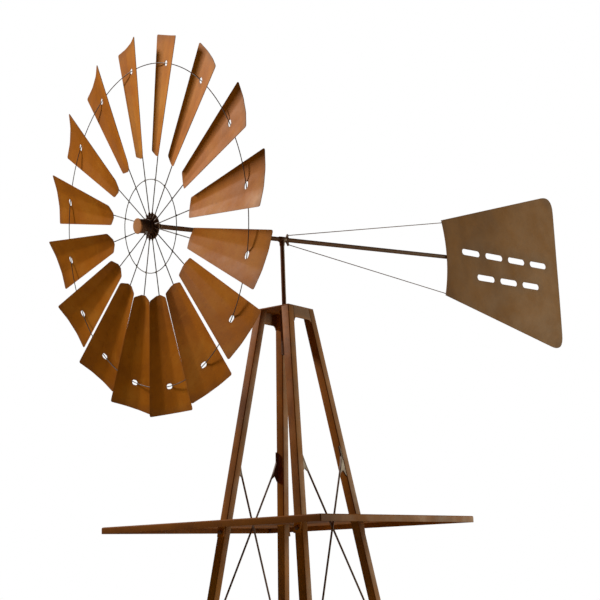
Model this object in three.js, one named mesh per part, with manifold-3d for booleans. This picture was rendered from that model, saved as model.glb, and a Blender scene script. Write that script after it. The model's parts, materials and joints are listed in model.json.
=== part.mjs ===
// Garden windmill in rusted steel: a tapered four-legged tower with a deck, a head that turns on a
// vertical mast rod, a tail vane on a boom, and a sixteen-bladed wheel that spins on the boom's nose.
// Millimetres, +Z up. The wheel stands on the -Y side of the tower and the tail on the +Y side.
import * as THREE from 'three';
import { mergeVertices } from 'three/addons/utils/BufferGeometryUtils.js';
import Module from 'manifold-3d';

const wasm = await Module();
wasm.setup();

// ---- driving dimensions -----------------------------------------------------------------------
const GAP = 0.3; // air left between pieces that touch
const DEG = Math.PI / 180;

// tower: four square tubes whose outer corners lie on a square that widens downwards
const TOWER_HEIGHT = 1850;
const TOWER_TOP_HALF = 47;
const TOWER_TAPER = 0.136; // outward run of each face for each millimetre down
const LEG_SIZE = 20;
const LEG_WALL = 1.6;
const TOP_PLATE_THICK = 3;
const BAND_DEPTH = 28; // flanges of the cap channel, measured down from the tower's top

// feet
const FOOT_SIZE = 60;
const FOOT_THICK = 4;
const FOOT_HOLE_R = 4.5;
const FOOT_HOLE_OFFSET = 20; // from the foot's centre towards the outside, along X and along Y

// deck: a flat tray turned upside down, with a hole for each leg and for each brace cross
const DECK_TOP = 1379;
const DECK_HALF = 289;
const DECK_SHEET = 2;
const DECK_EDGE = 14; // height of the folded-down edge
const DECK_HOLE_CLEARANCE = 1.5; // round each leg
const ROD_HOLE = { alongX: 13, alongY: 20 };
const CLIP_THICK = 3;
const CLIP_DROP = 26;
const CLIP_REACH = 24;

// braces: crossed rods on the left (-X) and right (+X) faces, one cross above the other
const BRACE_R = 2;
const BRACE_END_CLEARANCE = 2.8; // from the leg to the middle of the rod's end
const BRACE_OUTSET = 5.5; // from the middle plane of the legs outwards to the middle of a cross
const BRACE_STAGGER = 2.3; // each rod lies this far off the middle of its cross
const BRACE_CROSSES = { upper: [1117, 1511], lower: [480, 1050] }; // low end and high end, in Z
const TIE_HEIGHT = 300;
const TIE_DEPTH = 25;
const TIE_THICK = 3;

// head: mast rod in a socket, boom across its top
const ROD_R = 5;
const BORE_R = 5.4;
const HEAD_HEADING = 76; // degrees from +X to the tail's direction, seen from above
const BOOM_ABOVE_TOWER = 163;
const BOOM_TILT = 3; // degrees, tail up
const BOOM_NOSE = -330; // along the boom from the mast's axis, tail positive
const BOOM_TAIL = 560;
const SOCKET_R = 10;
const SOCKET_DEPTH = 100;
const SOCKET_FLOOR = 4;
const BUSH_R = 6.9;
const BUSH_THICK = 4;
const TEE_R = 6.8;
const TEE_LENGTH = 20;
const TEE_STUB = 16;
const MAST_TOP_BELOW_BOOM = 7.5;
const LUG = { front: 12, tip: 15, rear: 18, halfWidth: 2, reach: 14 }; // along and off the boom
const WIRE_R = 1;
const WIRE_HOLD = 11; // height of each tail wire above or below the boom at the lug

// tail vane, in the head's own frame: x from the mast's axis, z from the boom's height at the mast
const VANE_THICK = 1.5;
const VANE_FRONT_X = 518;
const VANE_REAR_X = 966;
const VANE_FRONT_Z = [-75, 121];
const VANE_REAR_Z = [-186, 258];
const VANE_NOTCH = 13; // how far the front edge is hollowed
const VANE_TOP_ROUND = 50;
const VANE_BOTTOM_ROUND = 48;
const VANE_SLOT_HALF = 8;
const VANE_SLOT_ROWS = [
  { count: 4, x: 588, z: 48, length: 66, pitch: 88 },
  { count: 3, x: 640, z: -14, length: 66, pitch: 88 },
];

// wheel
const AXLE_TILT = 4.2; // degrees, nose down from the boom's own line
const HUB_AHEAD = 22; // from the boom's nose to the middle plane of the spokes
const BLADE_COUNT = 16;
const TIP_R = 400; // to the corners of the blades' tips
const TIP_HALF_CHORD = 59;
const TIP_X = Math.sqrt(TIP_R ** 2 - TIP_HALF_CHORD ** 2); // the tips are cut straight across
const ROOT_R = 148;
const ROOT_HALF_CHORD = 22;
const ROOT_SETBACK = 8; // how much farther out the root's corners are than its middle
const ROOT_FLAT = 0.25; // the part of the root's half chord that is not cut back
const BLADE_PITCH = 15; // degrees
const BLADE_THICK = 1.2;
const BLADE_STEPS_ACROSS = 8;
const BLADE_STEPS_ALONG = 2;
const TIP_CAMBER = 4.2; // how far the edges stand in front of the middle of the chord
const ROOT_CAMBER = 4.5;
const SPOKE_R = 1.1;
const SPOKE_INNER = 15.6;
const SPOKE_OUTER = 328;
const RING_R = 339;
const RING_WIRE_R = 0.95;
const INNER_RING_R = 98.5;
const RING_HOLE = { halfLength: 8, halfWidth: 5.5 };
const FLANGE_R = 27;
const FLANGE_THICK = 4;
const FLANGE_FRONT = -0.5; // the spokes are sunk this much less than their radius into the flange
const BARREL_R = 15;
const BARREL_LENGTH = 31;
const BARREL_FLOOR = 10; // the part of the barrel that fits the axle; the rest is wider, round the nut
const BARREL_CAVITY_R = 11.5;
const NOSE_R = 16.5;
const NOSE_THICK = 3;
const NUT_R = 9.8;
const NUT_HEIGHT = 10;
const NUT_WALL = 3.6;
const STOP_COLLAR_R = 10;
const STOP_COLLAR_LENGTH = 12;

// ---- materials --------------------------------------------------------------------------------
function rust(color, roughness) {
  return new THREE.MeshStandardMaterial({ color, roughness, metalness: 0.35 });
}
const colours = {
  blade: 0xa8672f,
  wheelWire: 0x5a3a26,
  hub: 0x4a2c1a,
  rod: 0x5b3924,
  vane: 0x70503a,
  tower: 0x6e4420,
  deck: 0x74502f,
  brace: 0x4f3c30,
};

// ---- solids -----------------------------------------------------------------------------------
// three.js geometry to a manifold solid and back
function toSolid(geometry) {
  const bare = geometry.clone();
  bare.deleteAttribute('normal');
  bare.deleteAttribute('uv');
  const merged = mergeVertices(bare, 1e-5);
  return new wasm.Manifold(
    new wasm.Mesh({
      numProp: 3,
      vertProperties: new Float32Array(merged.attributes.position.array),
      triVerts: new Uint32Array(merged.index.array),
    }),
  );
}

function toGeometry(solid) {
  const mesh = solid.getMesh();
  const geometry = new THREE.BufferGeometry();
  geometry.setAttribute('position', new THREE.BufferAttribute(mesh.vertProperties, 3));
  geometry.setIndex(new THREE.BufferAttribute(mesh.triVerts, 1));
  geometry.computeVertexNormals();
  return geometry;
}

function join(...geometries) {
  return toGeometry(geometries.map(toSolid).reduce((sum, solid) => sum.add(solid)));
}

function cut(geometry, ...tools) {
  return toGeometry(tools.map(toSolid).reduce((left, tool) => left.subtract(tool), toSolid(geometry)));
}

// a block whose cross-section at each height is the rectangle [x0, x1, y0, y1] that rangeAt(z) gives
function taperedBlock(low, high, rangeAt) {
  const corners = [low, high].flatMap((z) => {
    const [x0, x1, y0, y1] = rangeAt(z);
    return [x0, y0, z, x1, y0, z, x1, y1, z, x0, y1, z];
  });
  const geometry = new THREE.BufferGeometry();
  geometry.setAttribute('position', new THREE.Float32BufferAttribute(corners, 3));
  const sides = [0, 1, 2, 3].flatMap((i) => {
    const j = (i + 1) % 4;
    return [i, j, j + 4, i, j + 4, i + 4];
  });
  geometry.setIndex([0, 2, 1, 0, 3, 2, 4, 5, 6, 4, 6, 7, ...sides]);
  geometry.computeVertexNormals();
  return geometry;
}

function block(x0, x1, y0, y1, z0, z1) {
  return taperedBlock(z0, z1, () => [x0, x1, y0, y1]);
}

// round bar along Z
function bar(radius, z0, z1, sides = 24) {
  const geometry = new THREE.CylinderGeometry(radius, radius, z1 - z0, sides);
  geometry.rotateX(90 * DEG);
  geometry.translate(0, 0, (z0 + z1) / 2);
  return geometry;
}

// round tube along Z, open at both ends
function tube(inner, outer, z0, z1, sides = 24) {
  const profile = [
    [inner, z0],
    [outer, z0],
    [outer, z1],
    [inner, z1],
    [inner, z0],
  ].map(([r, z]) => new THREE.Vector2(r, z));
  const geometry = new THREE.LatheGeometry(profile, sides);
  geometry.rotateX(90 * DEG);
  return geometry;
}

function piece(name, geometry, color, roughness = 0.8) {
  const mesh = new THREE.Mesh(geometry, rust(color, roughness));
  mesh.name = name;
  return mesh;
}

// straight round rod between two points
function rodBetween(name, start, end, radius, color, sides = 10) {
  const from = new THREE.Vector3(...start);
  const to = new THREE.Vector3(...end);
  const mesh = piece(name, bar(radius, 0, from.distanceTo(to), sides), color);
  mesh.position.copy(from);
  mesh.quaternion.setFromUnitVectors(new THREE.Vector3(0, 0, 1), to.clone().sub(from).normalize());
  return mesh;
}

// ---- tower ------------------------------------------------------------------------------------
function halfWidth(z) {
  return TOWER_TOP_HALF + TOWER_TAPER * (TOWER_HEIGHT - z);
}

// the interval from a to b on the side of zero that sign gives, in rising order
function span(sign, a, b) {
  return sign > 0 ? [a, b] : [-b, -a];
}

const SIDES = { left: -1, right: 1 };
const ENDS = { front: -1, rear: 1 };

function eachCorner(make) {
  return Object.entries(ENDS).flatMap(([endName, sy]) =>
    Object.entries(SIDES).map(([sideName, sx]) => make(`${endName}_${sideName}`, sx, sy)),
  );
}

function leg(name, sx, sy) {
  const top = TOWER_HEIGHT - TOP_PLATE_THICK - GAP;
  const bottom = FOOT_THICK + GAP;
  const rangeWith = (inset) => (z) => {
    const inner = halfWidth(z) - LEG_SIZE + inset;
    const outer = halfWidth(z) - inset;
    return [...span(sx, inner, outer), ...span(sy, inner, outer)];
  };
  const outside = taperedBlock(bottom, top, rangeWith(0));
  const hollow = taperedBlock(bottom - 1, top - LEG_WALL, rangeWith(LEG_WALL));
  return piece(`leg_${name}`, cut(outside, hollow), colours.tower);
}

function foot(name, sx, sy) {
  const centre = halfWidth(0) - LEG_SIZE / 2;
  const half = FOOT_SIZE / 2;
  const plate = block(-half, half, -half, half, 0, FOOT_THICK);
  const hole = bar(FOOT_HOLE_R, -1, FOOT_THICK + 1, 20);
  hole.translate(sx * FOOT_HOLE_OFFSET, sy * FOOT_HOLE_OFFSET, 0);
  const mesh = piece(`foot_${name}`, cut(plate, hole), colours.tower);
  mesh.position.set(sx * centre, sy * centre, 0);
  return mesh;
}

// top plate with a flange down the left and right faces, between the legs and flush with them
function capChannel() {
  const under = TOWER_HEIGHT - TOP_PLATE_THICK;
  const plate = taperedBlock(under, TOWER_HEIGHT, (z) => {
    const half = halfWidth(z);
    return [-half, half, -half, half];
  });
  const flanges = Object.values(SIDES).map((sx) =>
    taperedBlock(TOWER_HEIGHT - BAND_DEPTH, under + 1, (z) => {
      const half = halfWidth(z);
      const reach = half - LEG_SIZE - GAP;
      return [...span(sx, half - TOP_PLATE_THICK, half), -reach, reach];
    }),
  );
  const mastHole = bar(BORE_R, under - 1, TOWER_HEIGHT + 1);
  return piece('cap_channel', cut(join(plate, ...flanges), mastHole), colours.tower);
}

function mastSocket() {
  const top = TOWER_HEIGHT - TOP_PLATE_THICK - GAP;
  const bottom = top - SOCKET_DEPTH;
  const bore = bar(BORE_R, bottom + SOCKET_FLOOR, top + 1);
  return piece('mast_socket', cut(bar(SOCKET_R, bottom, top), bore), colours.hub);
}

function mastBush() {
  const low = TOWER_HEIGHT + GAP;
  return piece('mast_bush', tube(BORE_R, BUSH_R, low, low + BUSH_THICK), colours.rod, 0.6);
}

function deck() {
  const tray = block(-DECK_HALF, DECK_HALF, -DECK_HALF, DECK_HALF, DECK_TOP - DECK_EDGE, DECK_TOP);
  const inner = DECK_HALF - DECK_SHEET;
  const hollow = block(-inner, inner, -inner, inner, DECK_TOP - DECK_EDGE - 1, DECK_TOP - DECK_SHEET);
  const legHoles = eachCorner((name, sx, sy) => {
    const far = halfWidth(DECK_TOP) + DECK_HOLE_CLEARANCE;
    const near = halfWidth(DECK_TOP) - LEG_SIZE - DECK_HOLE_CLEARANCE;
    return block(...span(sx, near, far), ...span(sy, near, far), DECK_TOP - DECK_EDGE, DECK_TOP + 1);
  });
  const middle = halfWidth(DECK_TOP) - LEG_SIZE / 2 + BRACE_OUTSET;
  const rodHoles = Object.values(SIDES).map((sx) => {
    const across = span(sx, middle - ROD_HOLE.alongX / 2, middle + ROD_HOLE.alongX / 2);
    const along = [-ROD_HOLE.alongY / 2, ROD_HOLE.alongY / 2];
    return block(...across, ...along, DECK_TOP - DECK_EDGE, DECK_TOP + 1);
  });
  return piece('deck', cut(tray, hollow, ...legHoles, ...rodHoles), colours.deck);
}

// angle clip on a leg's front or rear face, under the deck sheet
function deckClip(name, sx, sy) {
  const top = DECK_TOP - DECK_SHEET - GAP;
  const across = (z) => span(sx, halfWidth(z) - LEG_SIZE + 1, halfWidth(z) - 1);
  const upright = taperedBlock(top - CLIP_DROP, top, (z) => {
    const face = halfWidth(z) + GAP;
    return [...across(z), ...span(sy, face, face + CLIP_THICK)];
  });
  const shelf = taperedBlock(top - CLIP_THICK, top, (z) => {
    const face = halfWidth(z) + GAP;
    return [...across(z), ...span(sy, face, halfWidth(top) + CLIP_REACH)];
  });
  return piece(`deck_clip_${name}`, join(upright, shelf), colours.tower);
}

// two rods that cross near the outer side of one face, one in front of the other
function braceCross(faceName, sx, levelName, [low, high]) {
  const end = (z, sy, stagger) => {
    const half = halfWidth(z);
    const y = sy * (half - LEG_SIZE - BRACE_END_CLEARANCE);
    return [sx * (half - LEG_SIZE / 2 + BRACE_OUTSET + stagger), y, z];
  };
  return Object.entries(ENDS).map(([endName, sy]) => {
    const stagger = sy * BRACE_STAGGER;
    const name = `brace_${faceName}_${levelName}_${endName}_high`;
    return rodBetween(name, end(low, -sy, stagger), end(high, sy, stagger), BRACE_R, colours.brace);
  });
}

// flat bars that tie the legs together near the ground, inside the line of the faces
function ties() {
  const tie = (name, alongX, sign) => {
    const geometry = taperedBlock(TIE_HEIGHT - TIE_DEPTH / 2, TIE_HEIGHT + TIE_DEPTH / 2, (z) => {
      const half = halfWidth(z);
      const reach = half - LEG_SIZE - GAP;
      const across = span(sign, half - TIE_THICK, half);
      return alongX ? [-reach, reach, ...across] : [...across, -reach, reach];
    });
    return piece(`tie_${name}`, geometry, colours.tower);
  };
  return [
    ...Object.entries(ENDS).map(([name, sign]) => tie(name, true, sign)),
    ...Object.entries(SIDES).map(([name, sign]) => tie(name, false, sign)),
  ];
}

function tower() {
  const group = new THREE.Group();
  group.add(...eachCorner(leg));
  group.add(...eachCorner(foot));
  group.add(...eachCorner(deckClip));
  group.add(capChannel(), mastSocket(), mastBush(), deck());
  for (const [faceName, sx] of Object.entries(SIDES)) {
    for (const [levelName, heights] of Object.entries(BRACE_CROSSES)) {
      group.add(...braceCross(faceName, sx, levelName, heights));
    }
  }
  group.add(...ties());
  return group;
}

// ---- wheel: built around +Z, which points forwards; +X is up, and clockwise is towards -Y --------
const BLADE_FORWARD = SPOKE_R + BLADE_THICK / 2 + GAP; // middle of the chord ahead of the spokes

// pitched sheet, cut straight at its tip, with its edges curled forwards; the mesh lies along +X
function bladeSheet() {
  const positions = [];
  const columns = BLADE_STEPS_ACROSS + 1;
  const rows = BLADE_STEPS_ALONG + 1;
  for (const face of [-1, 1]) {
    for (let row = 0; row < rows; row += 1) {
      const v = row / BLADE_STEPS_ALONG;
      for (let column = 0; column < columns; column += 1) {
        const u = (2 * column) / BLADE_STEPS_ACROSS - 1;
        const slant = Math.max(0, Math.abs(u) - ROOT_FLAT) / (1 - ROOT_FLAT);
        const x = THREE.MathUtils.lerp(ROOT_R + ROOT_SETBACK * slant, TIP_X, v);
        const y = THREE.MathUtils.lerp(ROOT_HALF_CHORD, TIP_HALF_CHORD, v) * u;
        const camber = THREE.MathUtils.lerp(ROOT_CAMBER, TIP_CAMBER, v) * u * u;
        positions.push(x, y, BLADE_FORWARD + camber + (face * BLADE_THICK) / 2);
      }
    }
  }
  const faceSize = columns * rows;
  const index = [];
  const addQuad = (a, b, c, d) => index.push(a, b, c, a, c, d);
  for (let row = 0; row < BLADE_STEPS_ALONG; row += 1) {
    for (let column = 0; column < BLADE_STEPS_ACROSS; column += 1) {
      const a = row * columns + column;
      const b = a + columns;
      addQuad(a, a + 1, b + 1, b);
      addQuad(a + faceSize, b + faceSize, b + 1 + faceSize, a + 1 + faceSize);
    }
  }
  const last = BLADE_STEPS_ALONG * columns;
  for (let column = 0; column < BLADE_STEPS_ACROSS; column += 1) {
    addQuad(column, column + faceSize, column + 1 + faceSize, column + 1);
    const tip = last + column;
    addQuad(tip, tip + 1, tip + 1 + faceSize, tip + faceSize);
  }
  for (let row = 0; row < BLADE_STEPS_ALONG; row += 1) {
    const near = row * columns;
    addQuad(near, near + columns, near + columns + faceSize, near + faceSize);
    const far = near + BLADE_STEPS_ACROSS;
    addQuad(far, far + faceSize, far + columns + faceSize, far + columns);
  }
  const geometry = new THREE.BufferGeometry();
  geometry.setAttribute('position', new THREE.Float32BufferAttribute(positions, 3));
  geometry.setIndex(index);
  return geometry;
}

// round-ended opening through which the ring wire passes at a shallow angle
function ringHole() {
  const { halfLength, halfWidth: halfAcross } = RING_HOLE;
  const straight = halfLength - halfAcross;
  const shape = new THREE.Shape();
  shape.absarc(0, straight, halfAcross, 0, Math.PI);
  shape.absarc(0, -straight, halfAcross, Math.PI, 2 * Math.PI);
  const depth = 20;
  const geometry = new THREE.ExtrudeGeometry(shape, { depth, bevelEnabled: false, curveSegments: 8 });
  geometry.translate(RING_R, 0, -depth / 2);
  return geometry;
}

function blades() {
  const geometry = cut(bladeSheet(), ringHole());
  return Array.from({ length: BLADE_COUNT }, (_, i) => {
    const mesh = piece(`blade_${String(i + 1).padStart(2, '0')}`, geometry, colours.blade);
    mesh.rotation.set(-BLADE_PITCH * DEG, 0, (-i * 2 * Math.PI) / BLADE_COUNT, 'ZYX');
    return mesh;
  });
}

// flange with the spokes welded to its front, in one weldment
function spider() {
  const flange = tube(BORE_R, FLANGE_R, FLANGE_FRONT - FLANGE_THICK, FLANGE_FRONT, 32);
  const spokes = Array.from({ length: BLADE_COUNT }, (_, i) => {
    const spoke = bar(SPOKE_R, SPOKE_INNER, SPOKE_OUTER, 8);
    spoke.rotateY(90 * DEG);
    spoke.rotateZ((i * 2 * Math.PI) / BLADE_COUNT);
    return spoke;
  });
  return piece('spoke_spider', join(flange, ...spokes), colours.wheelWire);
}

function wheelRing(name, radius, forward, segments) {
  const mesh = piece(name, new THREE.TorusGeometry(radius, RING_WIRE_R, 8, segments), colours.wheelWire);
  mesh.position.z = forward;
  return mesh;
}

function wheel() {
  const group = new THREE.Group();
  const barrelRear = FLANGE_FRONT + GAP;
  const barrelFront = barrelRear + BARREL_LENGTH;
  const noseRear = barrelFront + GAP;
  const cavity = bar(BARREL_CAVITY_R, barrelRear + BARREL_FLOOR, barrelFront + 1);
  const barrel = cut(tube(BORE_R, BARREL_R, barrelRear, barrelFront), cavity);
  group.add(...blades(), spider());
  group.add(wheelRing('outer_ring', RING_R, BLADE_FORWARD, 96));
  group.add(wheelRing('inner_ring', INNER_RING_R, SPOKE_R + GAP + RING_WIRE_R, 48));
  group.add(piece('hub_barrel', barrel, colours.hub));
  group.add(piece('hub_nose_disc', bar(NOSE_R, noseRear, noseRear + NOSE_THICK, 32), colours.rod));
  return group;
}

// axle and the two pieces that keep the wheel on it; +Z forwards, with the spokes' plane at zero
function axleSet() {
  const nutRear = FLANGE_FRONT + GAP + BARREL_FLOOR + GAP;
  const nutFront = nutRear + NUT_HEIGHT;
  const axleFront = nutFront - NUT_WALL - GAP;
  const collarFront = FLANGE_FRONT - FLANGE_THICK - GAP;
  const nut = cut(bar(NUT_R, nutRear, nutFront, 6), bar(BORE_R, nutRear - 1, nutFront - NUT_WALL));
  const collar = tube(BORE_R, STOP_COLLAR_R, collarFront - STOP_COLLAR_LENGTH, collarFront);
  return [
    piece('axle', bar(ROD_R, -HUB_AHEAD + 2 * GAP, axleFront), colours.rod),
    piece('axle_nut', nut, colours.rod, 0.6),
    piece('stop_collar', collar, colours.hub),
  ];
}

// ---- head: +X towards the tail, origin on the mast's axis at the boom's height ------------------
function vaneSlot({ x, z, length }, place) {
  const straight = length / 2 - VANE_SLOT_HALF;
  const centre = x + place + length / 2;
  const path = new THREE.Path();
  path.absarc(centre + straight, z, VANE_SLOT_HALF, -Math.PI / 2, Math.PI / 2);
  path.absarc(centre - straight, z, VANE_SLOT_HALF, Math.PI / 2, (3 * Math.PI) / 2);
  path.closePath();
  return path;
}

// rounds the outline's corner at b, between its neighbours a and c
function roundCorner(shape, a, b, c, radius) {
  const before = b.clone().add(a.clone().sub(b).setLength(radius));
  const after = b.clone().add(c.clone().sub(b).setLength(radius));
  shape.lineTo(before.x, before.y);
  shape.quadraticCurveTo(b.x, b.y, after.x, after.y);
}

function tailVane() {
  const frontLow = new THREE.Vector2(VANE_FRONT_X, VANE_FRONT_Z[0]);
  const frontHigh = new THREE.Vector2(VANE_FRONT_X, VANE_FRONT_Z[1]);
  const rearLow = new THREE.Vector2(VANE_REAR_X, VANE_REAR_Z[0]);
  const rearHigh = new THREE.Vector2(VANE_REAR_X, VANE_REAR_Z[1]);
  const shape = new THREE.Shape();
  shape.moveTo(frontLow.x, frontLow.y);
  roundCorner(shape, frontLow, rearLow, rearHigh, VANE_BOTTOM_ROUND);
  roundCorner(shape, rearLow, rearHigh, frontHigh, VANE_TOP_ROUND);
  shape.lineTo(frontHigh.x, frontHigh.y);
  const middle = (frontLow.y + frontHigh.y) / 2;
  shape.quadraticCurveTo(VANE_FRONT_X + 2 * VANE_NOTCH, middle, frontLow.x, frontLow.y);
  for (const row of VANE_SLOT_ROWS) {
    for (let i = 0; i < row.count; i += 1) {
      shape.holes.push(vaneSlot(row, i * row.pitch));
    }
  }
  const options = { depth: VANE_THICK, bevelEnabled: false, curveSegments: 8 };
  const geometry = new THREE.ExtrudeGeometry(shape, options);
  geometry.rotateX(90 * DEG);
  const mesh = piece('tail_vane', geometry, colours.vane);
  mesh.position.y = -(ROD_R + GAP);
  return mesh;
}

function tee() {
  const sleeve = bar(TEE_R, -TEE_LENGTH / 2, TEE_LENGTH / 2);
  const boomBore = bar(BORE_R, -TEE_LENGTH, TEE_LENGTH);
  for (const geometry of [sleeve, boomBore]) {
    geometry.rotateY((90 - BOOM_TILT) * DEG);
  }
  const stub = bar(TEE_R, -TEE_STUB, 0);
  const mastBore = bar(BORE_R, -TEE_STUB - 1, -MAST_TOP_BELOW_BOOM + GAP);
  return piece('mast_tee', cut(join(sleeve, stub), boomBore, mastBore), colours.hub);
}

// tapered ear on the boom's top or bottom, which a tail wire pulls on
function wireLug(name, sign) {
  const { front, tip, rear, halfWidth: half, reach } = LUG;
  const foot = ROD_R + GAP;
  const [low, high] = span(sign, foot, reach);
  const ear = taperedBlock(low, high, (z) => {
    const lean = (Math.abs(z) - foot) / (reach - foot);
    return [THREE.MathUtils.lerp(front, tip, lean), rear, -half, half];
  });
  return piece(name, ear, colours.hub);
}

// from the lug to just behind the vane's front corner, on the boom's side of the sheet
function tailWire(name, sign) {
  const tilt = BOOM_TILT * DEG;
  const startX = LUG.rear + 2 * GAP;
  const startZ = sign * WIRE_HOLD;
  const start = [
    startX * Math.cos(tilt) - startZ * Math.sin(tilt),
    0,
    startX * Math.sin(tilt) + startZ * Math.cos(tilt),
  ];
  const cornerZ = sign > 0 ? VANE_FRONT_Z[1] : VANE_FRONT_Z[0];
  const end = [VANE_FRONT_X + 12, -(ROD_R - WIRE_R), cornerZ - sign * 4];
  return rodBetween(name, start, end, WIRE_R, colours.brace, 8);
}

function head() {
  const group = new THREE.Group();
  group.position.z = TOWER_HEIGHT + BOOM_ABOVE_TOWER;
  group.rotation.z = HEAD_HEADING * DEG;

  const socketFloor = -TOP_PLATE_THICK - GAP - SOCKET_DEPTH + SOCKET_FLOOR;
  const mastLow = socketFloor + GAP - BOOM_ABOVE_TOWER;
  group.add(piece('mast', bar(ROD_R, mastLow, -MAST_TOP_BELOW_BOOM), colours.rod));
  group.add(tee(), tailVane(), tailWire('tail_wire_top', 1), tailWire('tail_wire_bottom', -1));

  const boomLine = new THREE.Group();
  boomLine.rotation.y = -BOOM_TILT * DEG;
  const boom = bar(ROD_R, BOOM_NOSE + 2 * GAP, BOOM_TAIL);
  boom.rotateY(90 * DEG);
  boomLine.add(piece('boom', boom, colours.rod));
  boomLine.add(wireLug('wire_lug_top', 1), wireLug('wire_lug_bottom', -1));

  const axleLine = new THREE.Group();
  axleLine.position.x = BOOM_NOSE;
  axleLine.rotation.y = -(90 + AXLE_TILT) * DEG;
  const hubPlane = new THREE.Group();
  hubPlane.name = 'hub_plane';
  hubPlane.position.z = HUB_AHEAD;
  hubPlane.add(wheel(), ...axleSet());
  axleLine.add(hubPlane);
  boomLine.add(axleLine);
  group.add(boomLine);
  return group;
}

// ---- assembly: the origin is the middle of the whole object's footprint, on the ground -----------
const windmill = new THREE.Group();
windmill.add(tower(), head());
windmill.updateMatrixWorld(true);
const bounds = new THREE.Box3().setFromObject(windmill, true);
const middle = bounds.getCenter(new THREE.Vector3());
windmill.position.set(-middle.x, -middle.y, 0);
windmill.updateMatrixWorld(true);

export default windmill;
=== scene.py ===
"""Garden windmill in rusted steel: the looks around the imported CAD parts.

Shapes are built in millimetres, each in the frame of the part it belongs to (tower, head, boom or
wheel), and turned into metres in the shared frame by that frame's matrix.
"""
import json
import math
import random

import bpy
from mathutils import Matrix, Vector, noise
from mathutils.geometry import delaunay_2d_cdt

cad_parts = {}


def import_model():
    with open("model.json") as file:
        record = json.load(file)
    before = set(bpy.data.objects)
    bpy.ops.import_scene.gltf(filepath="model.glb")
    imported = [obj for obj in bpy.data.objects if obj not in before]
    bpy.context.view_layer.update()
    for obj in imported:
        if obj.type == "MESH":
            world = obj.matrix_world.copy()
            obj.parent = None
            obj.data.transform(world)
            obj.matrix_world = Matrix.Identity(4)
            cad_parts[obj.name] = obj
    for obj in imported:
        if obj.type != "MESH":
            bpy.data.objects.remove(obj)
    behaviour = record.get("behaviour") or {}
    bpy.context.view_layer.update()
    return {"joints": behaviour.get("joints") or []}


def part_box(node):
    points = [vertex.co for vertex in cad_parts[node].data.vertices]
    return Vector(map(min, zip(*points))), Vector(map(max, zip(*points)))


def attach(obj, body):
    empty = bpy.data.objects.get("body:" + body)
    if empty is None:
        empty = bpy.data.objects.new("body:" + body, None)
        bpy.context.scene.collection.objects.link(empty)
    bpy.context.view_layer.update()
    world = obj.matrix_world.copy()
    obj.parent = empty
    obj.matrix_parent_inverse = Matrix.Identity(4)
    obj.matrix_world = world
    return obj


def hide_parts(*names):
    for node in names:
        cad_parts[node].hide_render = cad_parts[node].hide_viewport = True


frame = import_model()

# ---- driving dimensions, in millimetres -------------------------------
MM = 0.001
GAP = 0.3  # between neighbouring parts
WELD_R = {"foot": 2, "deck": 1.6, "brace": 2.3, "tie": 1.7, "hub": 2.1, "vane": 1.7, "lug": 1.3}

TOWER_TOP_HALF = 47
TOWER_TAPER = 0.136
LEG_SIZE = 20
LEG_CORNER = 2.2
PLATE = 3
BAND_DEPTH = 28
BAND_ROUND = 9
BAND_SPREAD = 0.35  # how much of the legs' taper the band's lower corners follow
FOOT_SIZE = 60
FOOT_THICK = 4
FOOT_HOLE_R = 4.5
FOOT_HOLE_OFFSET = 20
FOOT_CORNER = 5
DECK_TOP = 1379
DECK_HALF = 289
DECK_SHEET = 2
DECK_EDGE = 14
DECK_FOLD = 2.8  # outer radius of the bend along the deck's rim
DECK_CORNER = 2.5
DECK_HOLE_CLEARANCE = 1.5
ROD_HOLE = (13, 20)  # along X and along Y, round each brace cross
CLIP_DROP = 26
CLIP_REACH = 24
CLIP_BOLT = (5, 3.6)  # radius and height of its head
BRACE_R = 2
BRACE_OUTSET = 5.5
BRACE_STAGGER = 2.3
BRACE_CLEARANCE = 2.8
BRACE_BEND = 7  # reach of the rods' bends
BRACE_LAP = 28  # length of each rod's bent end, laid along the leg
BRACE_WEB = 38  # how far weld metal fills the corner between rod and leg
BRACE_CROSSES = {"upper": (1117, 1511), "lower": (480, 1050)}
TIE_HEIGHT = 300
TIE_DEPTH = 25
TIE_THICK = 3

BOOM_ABOVE_TOWER = 163
BOOM_TILT = 3
BOOM_NOSE = -330
BOOM_TAIL = 560
ROD_R = 5
SOCKET_R = 10
SOCKET_DEPTH = 100
BUSH_R = 6.9
BUSH_THICK = 4
TEE_R = 6.6
TEE_HALF = 10
TEE_STUB = 16
LUG_FRONT = 12
LUG_REAR = 18
LUG_REACH = 14
LUG_THICK = 4
WIRE_R = 1
WIRE_HOLD = 11

VANE_THICK = 1.5
VANE_FRONT_X = 518
VANE_REAR_X = 966
VANE_FRONT_Z = (-75, 121)
VANE_REAR_Z = (-186, 258)
VANE_NOTCH = 13
VANE_ROUNDS = (48, 50)  # reach of the rear corners' rounding, lower and upper
VANE_SLOT_HALF = 8
VANE_SLOT_LENGTH = 66
VANE_SLOT_PITCH = 88
VANE_SLOT_ROWS = ((4, 588, 48), (3, 640, -14))  # how many, first slot's front, height

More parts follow.
